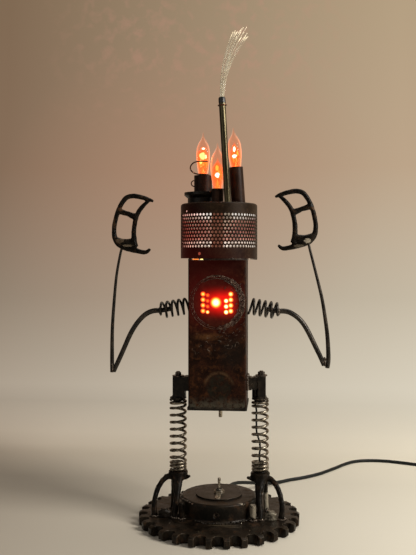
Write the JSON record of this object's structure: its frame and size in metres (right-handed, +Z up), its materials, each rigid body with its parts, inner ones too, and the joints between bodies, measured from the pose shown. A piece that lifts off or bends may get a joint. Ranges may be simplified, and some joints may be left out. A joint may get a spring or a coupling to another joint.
{
  "type": "desk lamp",
  "caption": "Robot shaped desk lamp of welded scrap: sprocket base, spring legs, steel box torso with red chest lamp, perforated head, flame bulbs, fibre plume and sprung arms.",
  "frame": {"origin": "on the table, under the middle of the base and torso", "axes": "+Z up, the chest faces -Y, +X to the right as seen from the front"},
  "size_m": [0.7461, 0.5124, 0.78],
  "materials": {
    "oily_cast_iron": "oiled, brown where worn",
    "rusty_steel": "rusted steel under wax",
    "grey_steel": "dull grey brown",
    "dark_steel": "black oxide, scuffed",
    "weld_steel": "rough weld bead",
    "plated_steel": "worn plating",
    "dark_spring": "blackened spring steel",
    "bright_spring": "bare spring steel",
    "brass": "dull brass",
    "copper_wire": "tarnished copper",
    "black_plastic": "moulded",
    "pale_plastic": "moulded",
    "circuit_board": "lacquered board",
    "black_rubber": "moulded",
    "black_cord": "smooth sheath",
    "red_lens": "red diffuser",
    "red_lamp": "lit red lamp",
    "flame_glass": "clear glass, warm with light",
    "flame_lamp": "glowing plate",
    "glass_fibre": "clear fibre"
  },
  "bodies": {
    "base": {"sprocket_base": "oily_cast_iron", "set_screw": "dark_steel", "switch_plate": "rusty_steel", "switch_body": "black_plastic", "switch_nut": "plated_steel", "switch_tag": "plated_steel", "left_foot": "oily_cast_iron", "right_foot": "oily_cast_iron", "foot_bolts": "dark_steel", "left_leg_spring": "dark_spring", "right_leg_spring": "bright_spring", "cord_gland": "black_rubber", "mains_cord": "black_cord", "cord_coil": "black_cord", "cord_tail": "black_cord", "mains_plug": "black_plastic", "hub_lead": "black_cord", "leg_lead": "black_cord"},
    "toggle": {"toggle_lever": "plated_steel"},
    "torso": {"torso_box": "rusty_steel", "torso_sole": "dark_steel", "torso_top_plate": "dark_steel", "chest_ring": "weld_steel", "chest_lens": "red_lens", "chest_board": "circuit_board", "chest_leds": "red_lamp", "left_leg_bracket": "weld_steel", "right_leg_bracket": "weld_steel", "bracket_bolts": "dark_steel", "dimmer_body": "black_plastic", "terminal_block": "pale_plastic", "led_driver": "circuit_board", "neck_plate": "rusty_steel", "head_welds": "weld_steel", "head_drum": "grey_steel", "head_top_plate": "rusty_steel", "wire_nipple": "brass", "lamp_cup": "dark_steel", "left_socket": "rusty_steel", "right_socket": "rusty_steel", "front_socket": "rusty_steel", "bulb_glasses": "flame_glass", "bulb_caps": "plated_steel", "bulb_electrodes": "flame_lamp", "wire_loops": "copper_wire", "antenna_tube": "brass", "antenna_ferrule": "black_plastic", "antenna_collar": "copper_wire", "fibre_plume": "glass_fibre", "fibre_lamp": "pale_plastic", "shoulder_spring_roots": "dark_spring"},
    "dimmer": {"dimmer_shaft": "plated_steel"},
    "left_arm": {"left_shoulder_spring": "dark_spring", "left_upper_arm": "dark_spring", "left_forearm": "dark_spring", "left_hand": "oily_cast_iron"},
    "right_arm": {"right_shoulder_spring": "dark_spring", "right_upper_arm": "dark_spring", "right_forearm": "dark_spring", "right_hand": "oily_cast_iron"}
  },
  "joints": [
    {"name": "torso_bounce", "type": "slide", "parent": "base", "child": "torso", "axis": [0, 0, 1], "range_m": [-0.006, 0.003], "stiffness_N_per_m": 48000, "springref_m": 0.0009, "deforming": ["left_leg_spring", "right_leg_spring", "leg_lead"]},
    {"name": "toggle_throw", "type": "hinge", "parent": "base", "child": "toggle", "pos_m": [0, 0, 0.046], "axis": [1, 0, 0], "range_deg": [0, 24]},
    {"name": "dimmer_turn", "type": "hinge", "parent": "torso", "child": "dimmer", "pos_m": [0.0024, 0, 0.18], "axis": [0, 0, 1], "range_deg": [0, 270]},
    {"name": "left_arm_flex", "type": "hinge", "parent": "torso", "child": "left_arm", "pos_m": [-0.07015, 0, 0.34057], "axis": [0, 1, 0], "range_deg": [-7, 7], "stiffness_Nm_per_rad": 8, "springref_deg": 1.72},
    {"name": "right_arm_flex", "type": "hinge", "parent": "torso", "child": "right_arm", "pos_m": [0.07015, 0, 0.34057], "axis": [0, 1, 0], "range_deg": [-7, 7], "stiffness_Nm_per_rad": 8, "springref_deg": -1.72}
  ]
}
